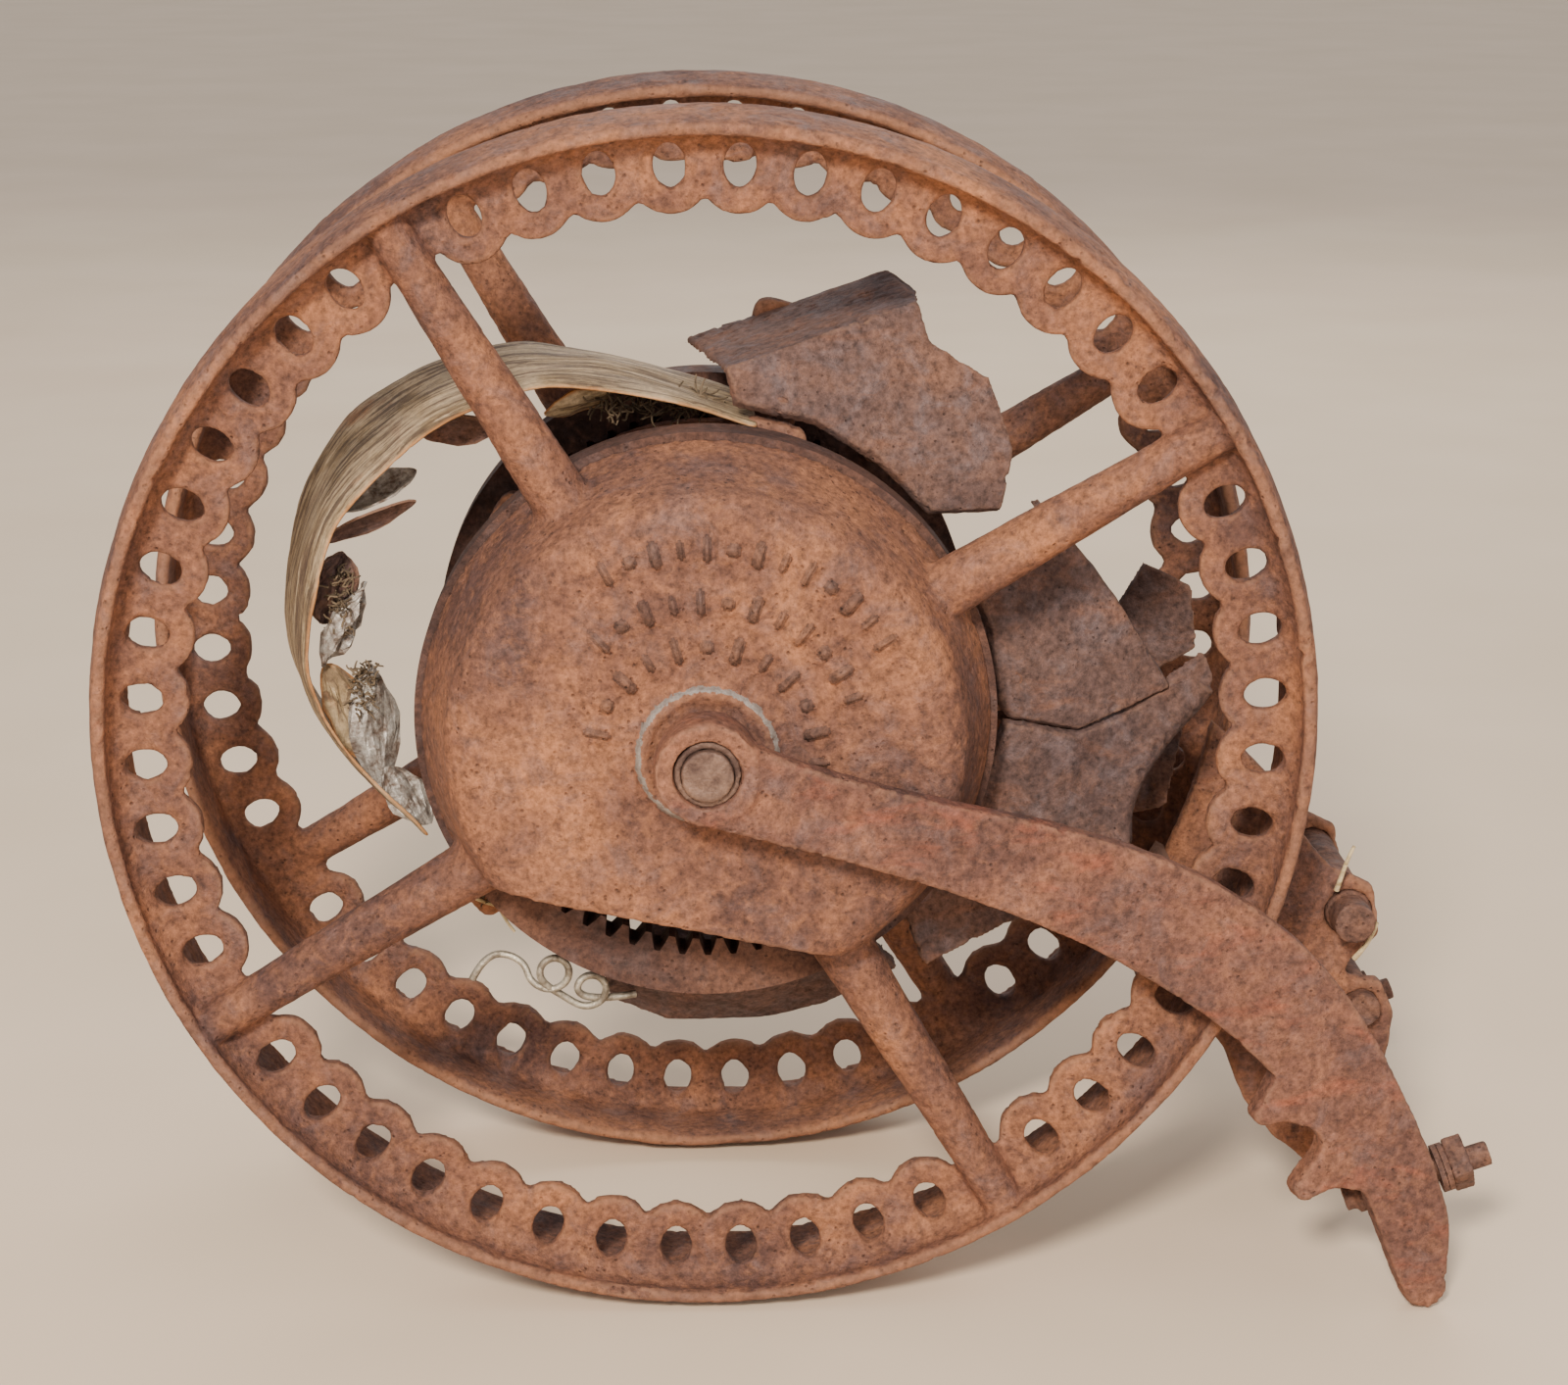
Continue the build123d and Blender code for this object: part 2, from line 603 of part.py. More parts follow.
# ------------------------------------------------------------------ write every node
write_pair("wheel", wheel())
write_pair("ring_gear", ring_gear())
write_pair("gear_rivets", Compound(children=gear_rivets()))
write_pair("idler_gear", idler())
write_pair("sun_pinion", sun_pinion())
write_pair("drive_key", drive_key())
write_pair("gear_carrier", carrier())
write_pair("idler_stud", idler_stud())
write_pair("thrust_washer", thrust_washer())
write_pair("tube_washer", tube_washer())
write_pair("axle_bush", ring(EYE_BORE, AXLE_RADIUS, EYE_BACK, ARM_FRONT - 1))
write_pair("arm", arm())
write_pair("tail_bolt", tail_bolt())
write_pair("tail_washers", Compound(children=tail_washers()))
write_pair("tail_nut", tail_nut())
write_pair("side_bracket", bracket())

write("axle", rod(AXLE_RADIUS, -AXLE_HALF, AXLE_HALF))
write("reel_tube", reel_tube())

strip = curved_strip()
rivets = blade_rivets()
blades = {"top_blade": top_blade(), "right_blade": right_blade(), "twisted_blade": twisted_blade(),
          "rear_blade": rear_blade(), "bottom_blade": bottom_blade()}
blades["twisted_blade"] -= blades["right_blade"]
blades["rear_blade"] -= [blades["right_blade"], blades["twisted_blade"]]
blades["bottom_blade"] -= loose_pin()
near_head = mirror(reel_head(NEAR_EARS), about=Plane.XZ) - strip
far_head = reel_head(FAR_EARS) - strip
for name, blade in blades.items():
    near_head -= blade
    far_head -= blade
    write(name, blade - strip - rivets)
write("near_reel_head", (near_head - rivets).solids().sort_by(SortBy.VOLUME)[-1])
write("far_reel_head", far_head)
write("curved_strip", strip)
write("strip_tabs", Compound(children=strip_tabs()))
write("blade_rivets", Compound(children=rivets))
write("loose_pin", loose_pin())
write("wire_hook", wire_hook())
write("bed_knife", bed_knife())
write("bed_knife_screws", Compound(children=knife_screws()))
write("handle_rod", rod(HANDLE_END, -38, 38, HANDLE_ROD)
      + rod(HANDLE_SHOULDER, -BRACKET_OUT, BRACKET_OUT, HANDLE_ROD))
write("lower_rod", rod(4.5, -33, 33, LOWER_ROD))
write("tail_rod", rod(5.0, -ARM_FRONT + 30, ARM_FRONT - 30, TAIL_ROD))
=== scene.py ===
"""Looks of an antique hand mower head: corroded castings, bent plates, patina strip and dry debris.

Lengths in calls are millimetres about the axle, unless they say metres; Blender's own are metres.
"""
import json
import math

import bmesh
import bpy
import numpy as np
from mathutils import Matrix, Vector, noise


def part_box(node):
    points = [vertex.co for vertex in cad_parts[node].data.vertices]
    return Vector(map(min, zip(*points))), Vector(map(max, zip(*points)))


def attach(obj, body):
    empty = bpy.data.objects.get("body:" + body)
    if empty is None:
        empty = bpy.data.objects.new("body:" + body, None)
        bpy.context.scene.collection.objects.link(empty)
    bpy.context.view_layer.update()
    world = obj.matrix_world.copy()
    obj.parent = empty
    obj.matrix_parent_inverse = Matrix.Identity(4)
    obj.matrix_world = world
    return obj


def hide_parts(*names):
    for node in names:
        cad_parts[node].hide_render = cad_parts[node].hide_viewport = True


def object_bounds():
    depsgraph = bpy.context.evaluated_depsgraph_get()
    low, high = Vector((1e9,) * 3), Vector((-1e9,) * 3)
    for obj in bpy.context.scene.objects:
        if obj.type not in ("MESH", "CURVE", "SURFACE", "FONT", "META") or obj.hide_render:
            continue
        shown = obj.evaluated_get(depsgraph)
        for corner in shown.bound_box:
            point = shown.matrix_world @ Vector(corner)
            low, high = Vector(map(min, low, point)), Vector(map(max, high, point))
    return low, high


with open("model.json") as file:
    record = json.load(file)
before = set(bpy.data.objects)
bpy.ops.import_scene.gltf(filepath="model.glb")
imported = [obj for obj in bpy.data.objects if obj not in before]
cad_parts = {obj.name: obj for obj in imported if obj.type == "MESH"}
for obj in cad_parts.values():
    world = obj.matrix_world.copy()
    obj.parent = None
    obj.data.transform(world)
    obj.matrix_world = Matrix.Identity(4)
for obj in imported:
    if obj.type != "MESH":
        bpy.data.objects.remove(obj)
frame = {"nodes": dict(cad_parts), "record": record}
cad_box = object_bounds()

# ------------------------------------------------------------------ places from the frame
MM = 0.001
BODIES = frame["record"]["behaviour"]["bodies"]
SLOTS = {part["node"]: part["material_slot"] for part in frame["record"]["subparts"]}
axle_low, axle_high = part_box("axle")
AXLE = (Vector(axle_low) + Vector(axle_high)) / 2


def body_of(node):
    return next(name for name, nodes in BODIES.items() if node in nodes)


def at(x, y, z):
    """Point in metres from millimetres about the axle."""
    return AXLE + Vector((x, y, z)) * MM


# ------------------------------------------------------------------ material nodes
class Tree:
    """Small helper that adds and links shader nodes."""

    def __init__(self, name):
        self.material = bpy.data.materials.new(name)
        self.material.use_nodes = True
        self.nodes = self.material.node_tree.nodes
        self.links = self.material.node_tree.links
        self.shader = self.nodes["Principled BSDF"]
        self.coord = self.nodes.new("ShaderNodeTexCoord").outputs["Object"]

    def link(self, source, target):
        self.links.new(source, target)

    def stretched(self, scale):
        """Object coordinates, scaled along each axis."""
        node = self.nodes.new("ShaderNodeMapping")
        node.inputs["Scale"].default_value = scale
        self.link(self.coord, node.inputs["Vector"])
        return node.outputs["Vector"]

    def noise(self, scale, detail, rough, distort=0.0, vector=None):
        node = self.nodes.new("ShaderNodeTexNoise")
        node.inputs["Scale"].default_value = scale
        node.inputs["Detail"].default_value = detail
        node.inputs["Roughness"].default_value = rough
        node.inputs["Distortion"].default_value = distort
        self.link(vector or self.coord, node.inputs["Vector"])
        return node.outputs["Fac"]

    def cells(self, scale):
        """Distance to the nearest of many scattered points."""
        node = self.nodes.new("ShaderNodeTexVoronoi")
        node.inputs["Scale"].default_value = scale
        self.link(self.coord, node.inputs["Vector"])
        return node.outputs["Distance"]

    def ramp(self, source, *stops):
        """Colour or grey ramp: stops are (position, colour) with a colour or one number."""
        node = self.nodes.new("ShaderNodeValToRGB")
        elements = node.color_ramp.elements
        while len(elements) < len(stops):
            elements.new(0.5)
        for element, (position, colour) in zip(elements, stops):
            element.position = position
            grey = isinstance(colour, (int, float))
            element.color = (colour, colour, colour, 1) if grey else (*colour, 1)
        self.link(source, node.inputs["Fac"])
        return node.outputs["Color"]

    def mix(self, factor, first, second, blend="MIX"):
        node = self.nodes.new("ShaderNodeMix")
        node.data_type = "RGBA"
        node.blend_type = blend
        for value, socket in ((factor, node.inputs[0]), (first, node.inputs[6]), (second, node.inputs[7])):
            if isinstance(value, bpy.types.NodeSocket):
                self.link(value, socket)
            elif isinstance(value, (int, float)):
                socket.default_value = value
            else:
                socket.default_value = (*value, 1)
        return node.outputs[2]

    def math(self, kind, first, second=0.0):
        node = self.nodes.new("ShaderNodeMath")
        node.operation = kind
        for value, socket in ((first, node.inputs[0]), (second, node.inputs[1])):
            if isinstance(value, (int, float)):
                socket.default_value = value
            else:
                self.link(value, socket)
        return node.outputs[0]

    def edges(self, low, high):
        """Mask of the convex edges."""
        pointy = self.nodes.new("ShaderNodeNewGeometry").outputs["Pointiness"]
        return self.ramp(pointy, (low, 0.0), (high, 1.0))

    def finish(self, colour, rough, height, depth_mm, metallic, specular):
        """Connect the shader, with the height as bump of the given depth, and return the material."""
        self.link(colour, self.shader.inputs["Base Color"])
        self.link(rough, self.shader.inputs["Roughness"])
        bump = self.nodes.new("ShaderNodeBump")
        bump.inputs["Distance"].default_value = depth_mm * MM
        bump.inputs["Strength"].default_value = 1.0
        self.link(height, bump.inputs["Height"])
        self.link(bump.outputs["Normal"], self.shader.inputs["Normal"])
        self.shader.inputs["Metallic"].default_value = metallic
        self.shader.inputs["Specular IOR Level"].default_value = specular
        return self.material


# Scales of the noises in the rust, in features per metre
CLOUD = 24
RUN = 38
CLUSTER = 45
BLOTCH = 85
MOTTLE = 210
CELL = 430
FLECK = 520
SPECK = 850
GRAIN = 1900

# Colours, as linear red, green and blue
PIT = (0.030, 0.016, 0.013)
# Lighter edge colour: partly rubbed rust, partly a painted highlight on the convex edges
EDGE_WEAR_AND_HIGHLIGHT = (0.33, 0.19, 0.12)
BARE_DARK = (0.12, 0.09, 0.075)
BARE_BRIGHT = (0.27, 0.225, 0.19)

# The rubbed ring: its grey roughness, its inner and outer radius, and how far its edge wanders
BARE_ROUGH = (0.38, 0.38, 0.38)
BARE_RING_MM = (17.7, 18.9)
BARE_RAGGED_MM = 3


def rust_tones(tree, deep, middle, light):
    """Three tones of rust in clouds, with finer light and dark mottling over them."""
    colour = tree.ramp(tree.noise(CLOUD, 6, 0.62, 0.4), (0.34, deep), (0.5, middle), (0.66, light))
    mottle = tree.noise(MOTTLE, 6, 0.72, 0.6)
    colour = tree.mix(tree.ramp(mottle, (0.50, 0.0), (0.64, 0.4)), colour, light)
    return tree.mix(tree.ramp(mottle, (0.34, 0.55), (0.44, 0.0)), colour, deep)


def rust_pits(tree, size):
    """Mask of round pits, which lie in clusters."""
    cluster = tree.ramp(tree.noise(CLUSTER, 4, 0.6), (0.42, 0.0), (0.58, 1.0))
    pit = tree.ramp(tree.cells(CELL), (0.02, 1.0), (0.06 + size, 0.0))
    return tree.mix(1.0, pit, cluster, "MULTIPLY")


def bare_ring(tree, fleck):
    """Mask of the narrow ragged ring round the axle that the arm's eye has rubbed bare."""
    place = tree.nodes.new("ShaderNodeVectorMath")
    place.operation = "SUBTRACT"
    tree.link(tree.coord, place.inputs[0])
    place.inputs[1].default_value = AXLE
    split = tree.nodes.new("ShaderNodeSeparateXYZ")
    tree.link(place.outputs[0], split.inputs[0])
    across = tree.math("POWER", split.outputs["X"], 2.0)
    upward = tree.math("POWER", split.outputs["Z"], 2.0)
    radius = tree.math("SQRT", tree.math("ADD", across, upward))
    radius = tree.math("ADD", radius, tree.math("MULTIPLY", fleck, BARE_RAGGED_MM * MM))
    inner, outer = BARE_RING_MM
    within = tree.math("LESS_THAN", radius, outer * MM)
    return tree.math("MULTIPLY", within, tree.math("GREATER_THAN", radius, inner * MM))


def rust(name, deep, middle, light, patch, patches=0.45, pit_size=0.16, streak=None, metallic=0.12,
         bare_hub=False, wear_and_highlight_edges=True):
    """Scaled rust: three tones, purplish patches, clustered dark pits, and lighter edges that are partly
    rubbed wear and partly painted highlight.
    """
    tree = Tree(name)
    fleck = tree.noise(FLECK, 5, 0.7)
    blotch = tree.noise(BLOTCH, 8, 0.68, 0.8)
    pit = rust_pits(tree, pit_size)
    colour = rust_tones(tree, deep, middle, light)
    colour = tree.mix(tree.ramp(blotch, (0.50, 0.0), (0.66, patches)), colour, patch)
    if streak:
        run = tree.noise(RUN, 5, 0.6, 0.5, tree.stretched((1.2, 1.0, 3.2)))
        colour = tree.mix(tree.ramp(run, (0.55, 0.0), (0.70, 0.4)), colour, streak)
    colour = tree.mix(0.95, colour, tree.ramp(fleck, (0.3, 0.45), (0.7, 1.75)), "MULTIPLY")
    # Convex edges lightened: partly rubbed rust, partly a painted highlight where the edges catch the
    # light
    if wear_and_highlight_edges:
        colour = tree.mix(tree.edges(0.52, 0.60), colour, tree.mix(0.35, light, EDGE_WEAR_AND_HIGHLIGHT))
    speck = tree.ramp(tree.noise(SPECK, 3, 0.6), (0.62, 0.0), (0.74, 0.6))
    colour = tree.mix(tree.math("MULTIPLY", pit, 0.6), colour, PIT)
    colour = tree.mix(speck, colour, PIT)
    rough = tree.ramp(blotch, (0.4, 0.9), (0.65, 0.66))
    if bare_hub:
        ring = bare_ring(tree, fleck)
        colour = tree.mix(ring, colour, tree.ramp(fleck, (0.3, BARE_DARK), (0.7, BARE_BRIGHT)))
        rough = tree.mix(ring, rough, BARE_ROUGH)
    grain = tree.noise(GRAIN, 3, 0.6)
    height = tree.math("ADD", tree.math("MULTIPLY", fleck, 0.8), tree.math("MULTIPLY", grain, 0.35))
    height = tree.math("SUBTRACT", height, tree.math("MULTIPLY", pit, 0.9))
    height = tree.math("ADD", height, tree.math("MULTIPLY", blotch, 0.7))
    return tree.finish(colour, rough, height, depth_mm=0.55, metallic=metallic, specular=0.35)


def strip_patina():
    """Thin sheet with olive and brown streaks and orange edges."""
    tree = Tree("strip_patina")
    broad = tree.noise(30, 6, 0.6, 0.8)
    streak = tree.noise(48, 7, 0.7, 0.35, tree.stretched((1.0, 8.0, 1.0)))
    fine = tree.noise(700, 4, 0.7)
    colour = tree.ramp(broad, (0.32, (0.120, 0.066, 0.036)), (0.46, (0.300, 0.200, 0.100)),
                       (0.58, (0.420, 0.300, 0.175)), (0.7, (0.300, 0.145, 0.062)))
    colour = tree.mix(tree.ramp(streak, (0.50, 0.0), (0.57, 0.85)), colour, (0.095, 0.055, 0.032))
    colour = tree.mix(tree.ramp(streak, (0.36, 0.9), (0.46, 0.0)), colour, (0.58, 0.42, 0.25))
    colour = tree.mix(0.7, colour, tree.ramp(fine, (0.3, 0.6), (0.7, 1.4)), "MULTIPLY")
    colour = tree.mix(tree.edges(0.53, 0.6), colour, (0.42, 0.17, 0.05))
    rough = tree.ramp(broad, (0.4, 0.85), (0.62, 0.6))
    height = tree.math("ADD", tree.math("MULTIPLY", fine, 0.5), streak)
    return tree.finish(colour, rough, height, depth_mm=0.7, metallic=0.05, specular=0.4)


def plain_metal(name, dark, bright, scale, metallic, low_rough, high_rough):
    """Worn metal with a little tarnish."""
    tree = Tree(name)
    broad = tree.noise(scale, 6, 0.65, 0.3)
    fine = tree.noise(1100, 4, 0.7)
    colour = tree.ramp(broad, (0.38, dark), (0.62, bright))
    colour = tree.mix(0.6, colour, tree.ramp(fine, (0.3, 0.6), (0.7, 1.35)), "MULTIPLY")
    rough = tree.ramp(broad, (0.4, high_rough), (0.65, low_rough))
    height = tree.math("ADD", fine, broad)
    return tree.finish(colour, rough, height, depth_mm=0.25, metallic=metallic, specular=0.5)


def dry_fibre(name, dark, bright):
    """Dead grass and leaf."""
    tree = Tree(name)
    run = tree.noise(500, 5, 0.6, 0.2, tree.stretched((0.3, 1.0, 1.0)))
    colour = tree.ramp(run, (0.35, dark), (0.6, bright))
    rough = tree.ramp(run, (0.3, 0.9), (0.7, 0.7))
    return tree.finish(colour, rough, run, depth_mm=0.2, metallic=0.0, specular=0.25)


RUST_DEEP = (0.078, 0.036, 0.027)
RUST_MIDDLE = (0.165, 0.068, 0.038)
RUST_LIGHT = (0.275, 0.110, 0.050)
PURPLE_GREY = (0.100, 0.060, 0.056)
RED_STREAK = (0.28, 0.068, 0.028)
ORANGE_STREAK = (0.22, 0.085, 0.040)
finishes = {
    "cast_rust": rust("cast_rust", RUST_DEEP, RUST_MIDDLE, RUST_LIGHT, PURPLE_GREY, bare_hub=True),
    "arm_rust": rust("arm_rust", RUST_DEEP, (0.130, 0.055, 0.036), (0.230, 0.095, 0.050),
                     PURPLE_GREY, streak=RED_STREAK),
    "plate_rust": rust("plate_rust", (0.062, 0.036, 0.032), (0.110, 0.062, 0.050), (0.165, 0.080, 0.052),
                       (0.110, 0.076, 0.074), 0.7, 0.10, streak=ORANGE_STREAK, metallic=0.25),
    "steel_rust": rust("steel_rust", (0.065, 0.032, 0.025), (0.125, 0.060, 0.040), (0.220, 0.095, 0.050),
                       (0.090, 0.058, 0.052), metallic=0.2, wear_and_highlight_edges=False),
    # Painted shade: the ring gear's rust is the casting's rust painted far darker, for the shadow the gear
    # lies in
    "gear_iron": rust("gear_iron", (0.036, 0.019, 0.016), (0.076, 0.036, 0.026), (0.125, 0.056, 0.034),
                      (0.075, 0.048, 0.045), metallic=0.2, wear_and_highlight_edges=False),
    "worn_iron": plain_metal("worn_iron", (0.075, 0.040, 0.030), (0.20, 0.115, 0.078), scale=160,
                             metallic=0.45, low_rough=0.45, high_rough=0.75),
    "wire_zinc": plain_metal("wire_zinc", (0.20, 0.16, 0.115), (0.50, 0.44, 0.34), scale=260,
                             metallic=0.6, low_rough=0.35, high_rough=0.55),
    "strip_patina": strip_patina(),
}
foil = plain_metal("foil", (0.13, 0.085, 0.06), (0.50, 0.45, 0.39), scale=300,
                   metallic=0.5, low_rough=0.3, high_rough=0.65)
straw = dry_fibre("straw", (0.30, 0.20, 0.09), (0.62, 0.48, 0.27))
moss = dry_fibre("moss", (0.05, 0.035, 0.022), (0.16, 0.11, 0.065))

for node, piece in frame["nodes"].items():
    piece.data.materials.clear()
    piece.data.materials.append(finishes[SLOTS[node]])


# ------------------------------------------------------------------ mesh helpers
def new_object(name, mesh, material, smooth=True):
    mesh.materials.clear()
    mesh.materials.append(material)
    mesh.polygons.foreach_set("use_smooth", [smooth] * len(mesh.polygons))
    made = bpy.data.objects.new(name, mesh)
    bpy.context.scene.collection.objects.link(made)
    return made


def evaluated(source):
    """Mesh of an object with its modifiers applied; the object is removed."""
    graph = bpy.context.evaluated_depsgraph_get()
    mesh = bpy.data.meshes.new_from_object(source.evaluated_get(graph))
    bpy.data.objects.remove(source)
    return mesh


# Scales of the corrosion of the surfaces, in features per metre
UNEVEN = 90
LUMPY = 260
PITTED = 420
# Noise levels at which a pit, and a cluster of pits, begins, and the growth of its depth from there
PIT_LEVEL = 0.22
CLUSTER_LEVEL = -0.25
PIT_GROWTH = 3.2


def corrode(mesh, shallow_mm, deep_mm, seed):
    """Push the vertices in and out: broad unevenness and clustered pits."""
    offset = Vector((seed * 3.1, seed * 1.7, seed * 2.3))
    places = np.empty(len(mesh.vertices) * 3)
    normals = np.empty(len(mesh.vertices) * 3)
    mesh.vertices.foreach_get("co", places)
    mesh.vertices.foreach_get("normal", normals)
    places = places.reshape(-1, 3)
    normals = normals.reshape(-1, 3)
    moves = np.empty(len(places))
    for index, place in enumerate(places):
        point = Vector(place)
        broad = noise.noise(point * UNEVEN + offset)
        middle = noise.noise(point * LUMPY + offset)
        pit = noise.noise(point * PITTED - offset)
        hollow = max(0.0, pit - PIT_LEVEL) * max(0.0, broad - CLUSTER_LEVEL) * PIT_GROWTH
        moves[index] = (0.6 * broad + 0.4 * middle) * shallow_mm - hollow * deep_mm
    places += normals * moves[:, None] * MM
    mesh.vertices.foreach_set("co", places.ravel())
    mesh.update()


def casting(node, voxel_mm, passes, shallow_mm, deep_mm, seed):
    """Corroded copy of a CAD node, with softened edges and a pitted surface."""
    source = bpy.data.objects.new("work", frame["nodes"][node].data.copy())
    bpy.context.scene.collection.objects.link(source)
    remesh = source.modifiers.new("remesh", "REMESH")
    remesh.mode = "VOXEL"
    remesh.voxel_size = voxel_mm * MM
    soften = source.modifiers.new("soften", "SMOOTH")
    soften.factor = 0.5
    soften.iterations = passes
    mesh = evaluated(source)
    corrode(mesh, shallow_mm, deep_mm, seed)
    piece = new_object(node + "_skin", mesh, finishes[SLOTS[node]])
    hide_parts(node)
    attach(piece, body_of(node))


# ------------------------------------------------------------------ camera, floor and lights
# The camera stands where the photograph's perspective puts it
LENS_MM = 75.0
SENSOR_MM = 36.0
CAMERA_PLACE = at(-2.36, -838.06, 220.19)
CAMERA_AIM = Vector((0.02667, 0.96490, -0.26125))
SKY = (0.92, 0.94, 1.0, 1)
SKY_STRENGTH = 0.75
FLOOR_REACH = 12.0
FLOOR_DROP_MM = 0.1


def photo_camera():
    data = bpy.data.cameras.new("camera")
    data.lens = LENS_MM
    data.sensor_width = SENSOR_MM
    camera = bpy.data.objects.new("camera", data)
    camera.location = CAMERA_PLACE
    camera.rotation_mode = "QUATERNION"
    camera.rotation_quaternion = CAMERA_AIM.to_track_quat("-Z", "Y")
    bpy.context.scene.collection.objects.link(camera)
    bpy.context.scene.camera = camera


def area_light(name, place, size, power, colour):
    """Round lamp that looks at the axle: place and size in metres, power in watts."""
    data = bpy.data.lights.new(name, "AREA")
    data.shape = "DISK"
    data.size = size
    data.energy = power
    data.color = colour
    lamp = bpy.data.objects.new(name, data)
    lamp.location = Vector(place)
    lamp.rotation_mode = "QUATERNION"
    lamp.rotation_quaternion = (AXLE - lamp.location).to_track_quat("-Z", "Y")
    bpy.context.scene.collection.objects.link(lamp)


def sky():
    world = bpy.data.worlds.new("world")
    world.use_nodes = True
    background = world.node_tree.nodes["Background"]
    background.inputs["Color"].default_value = SKY
    background.inputs["Strength"].default_value = SKY_STRENGTH
    bpy.context.scene.world = world


def floor():
    mesh = bpy.data.meshes.new("floor")
    far = FLOOR_REACH
    corners = [(-far, -far, 0), (far, -far, 0), (far, far, 0), (-far, far, 0)]
    mesh.from_pydata(corners, [], [(0, 1, 2, 3)])
    tree = Tree("floor")
    cloud = tree.noise(6, 3, 0.5)
    colour = tree.ramp(cloud, (0.3, (0.72, 0.55, 0.38)), (0.7, (0.77, 0.60, 0.43)))
    rough = tree.ramp(cloud, (0.3, 0.7), (0.7, 0.8))
    tree.finish(colour, rough, cloud, depth_mm=0.05, metallic=0.0, specular=0.3)
    made = new_object("floor", mesh, tree.material, smooth=False)
    made.location.z = cad_box[0][2] - FLOOR_DROP_MM * MM


photo_camera()
area_light("key", (-0.35, -1.55, 1.05), size=0.28, power=50.0, colour=(1.0, 0.94, 0.86))
area_light("fill", (0.55, -1.6, 0.55), size=1.0, power=10.0, colour=(1.0, 0.98, 0.96))
area_light("back", (0.3, 1.6, 1.3), size=1.2, power=12.0, colour=(1.0, 0.98, 0.95))
sky()
floor()


# ------------------------------------------------------------------ corroded castings and plates
BRACKETS = ("near_side_bracket", "far_side_bracket", "near_reel_head", "far_reel_head")
BLADES = ("top_blade", "right_blade", "twisted_blade", "rear_blade", "bottom_blade")
SMALL_PARTS = ("axle", "handle_rod", "lower_rod", "tail_rod", "near_axle_bush", "near_tail_nut",
               "near_tail_bolt", "far_axle_bush", "far_tail_nut", "far_tail_bolt")

casting("near_wheel", voxel_mm=1.1, passes=1, shallow_mm=0.3, deep_mm=0.8, seed=1)
casting("far_wheel", voxel_mm=1.7, passes=2, shallow_mm=0.4, deep_mm=0.8, seed=2)
casting("near_arm", voxel_mm=1.0, passes=5, shallow_mm=0.5, deep_mm=0.9, seed=3)
casting("far_arm", voxel_mm=1.4, passes=4, shallow_mm=0.5, deep_mm=0.9, seed=4)
for count, node in enumerate(BRACKETS):
    casting(node, voxel_mm=1.2, passes=3, shallow_mm=0.4, deep_mm=0.8, seed=5 + count)
for count, node in enumerate(BLADES):
    casting(node, voxel_mm=0.7, passes=2, shallow_mm=0.55, deep_mm=1.2, seed=10 + count)
for count, node in enumerate(SMALL_PARTS):
    casting(node, voxel_mm=0.6, passes=2, shallow_mm=0.25, deep_mm=0.4, seed=20 + count)


# ------------------------------------------------------------------ raised marks of the near drum
# Each arc: its radius in mm, the angles in degrees of its first and last mark, and their number
MARK_ARCS = ((51, 118, 33, 13), (38, 132, 22, 12), (27, 168, -4, 12))
# Height and width of the marks in mm, repeated along each arc
MARK_SIZES = ((6.8, 2.1), (3.4, 3.4), (6.8, 2.8), (5.2, 2.1))
MARK_DEPTH = 2.6
MARK_SUNK = 2.0
MARK_ROUNDING = 0.65


def mark_places():
    """Radius, angle, height and width of the plain bars and dots, in three arcs round the hub."""
    for radius, first, last, count in MARK_ARCS:
        for index in range(count):
            angle = math.radians(first + (last - first) * index / (count - 1))
            yield radius, angle, *MARK_SIZES[index % len(MARK_SIZES)]


def drum_marks():
    """Bars and dots with rounded tops that stand on the drum's face: no lettering."""
    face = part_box("near_wheel")[0][1]
    build = bmesh.new()
    for radius, angle, tall, wide in mark_places():
        made = bmesh.ops.create_cube(build, size=1.0)
        place = at(radius * math.cos(angle), 0, radius * math.sin(angle))
        place.y = face + MARK_SUNK * MM
        turn = Matrix.Rotation(-angle, 4, "Y")
        size = Matrix.Diagonal((tall * MM, MARK_DEPTH * MM, wide * MM, 1))
        bmesh.ops.transform(build, matrix=Matrix.Translation(place) @ turn @ size, verts=made["verts"])
    bmesh.ops.bevel(build, geom=build.edges[:], offset=MARK_ROUNDING * MM, segments=3, affect="EDGES")
    mesh = bpy.data.meshes.new("near_drum_marks")
    build.to_mesh(mesh)
    build.free()
    corrode(mesh, shallow_mm=0.25, deep_mm=0.4, seed=50)
    piece = new_object("near_drum_marks", mesh, finishes["steel_rust"])
    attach(piece, "near_wheel_set")


drum_marks()


# ------------------------------------------------------------------ curved strip and what lies in it
# x and z of the strip's two long edges and of a point inside its bow, in mm about the axle
STRIP_NEAR = [(14, 72), (-29, 83), (-60, 76), (-86, 56.5), (-100, 28), (-98, -4), (-72, -36)]
STRIP_FAR = [(11, 70), (-29, 81.5), (-63, 82), (-96, 63.5), (-112, 30), (-110, -8), (-86, -39)]
STRIP_INSIDE = (-42, 22)
STRIP_NEAR_Y = -35.0
STRIP_FAR_Y = 25.0
STRIP_THICK = 1.1
STRIP_STEPS = 110
STRIP_ROWS = 26
# How far the strip's face ripples, its edges roll inwards and its edges wander, in mm
RIPPLE = 1.1
ROLL = 1.2
ROLL_FALL = 16
WANDER = 0.9


def smooth_line(points, count):
    """Evenly parameterised Catmull-Rom line through the points."""
    knots = np.array([points[0], *points, points[-1]], dtype=float)
    line = []
    for place in np.linspace(0, len(points) - 1, count):
        first = min(int(place), len(points) - 2)
        t = place - first
        before, start, end, after = knots[first:first + 4]
        square = 2 * before - 5 * start + 4 * end - after
        cube = 3 * start - before - 3 * end + after
        line.append(0.5 * (2 * start + (end - before) * t + square * t ** 2 + cube * t ** 3))
    return np.array(line)


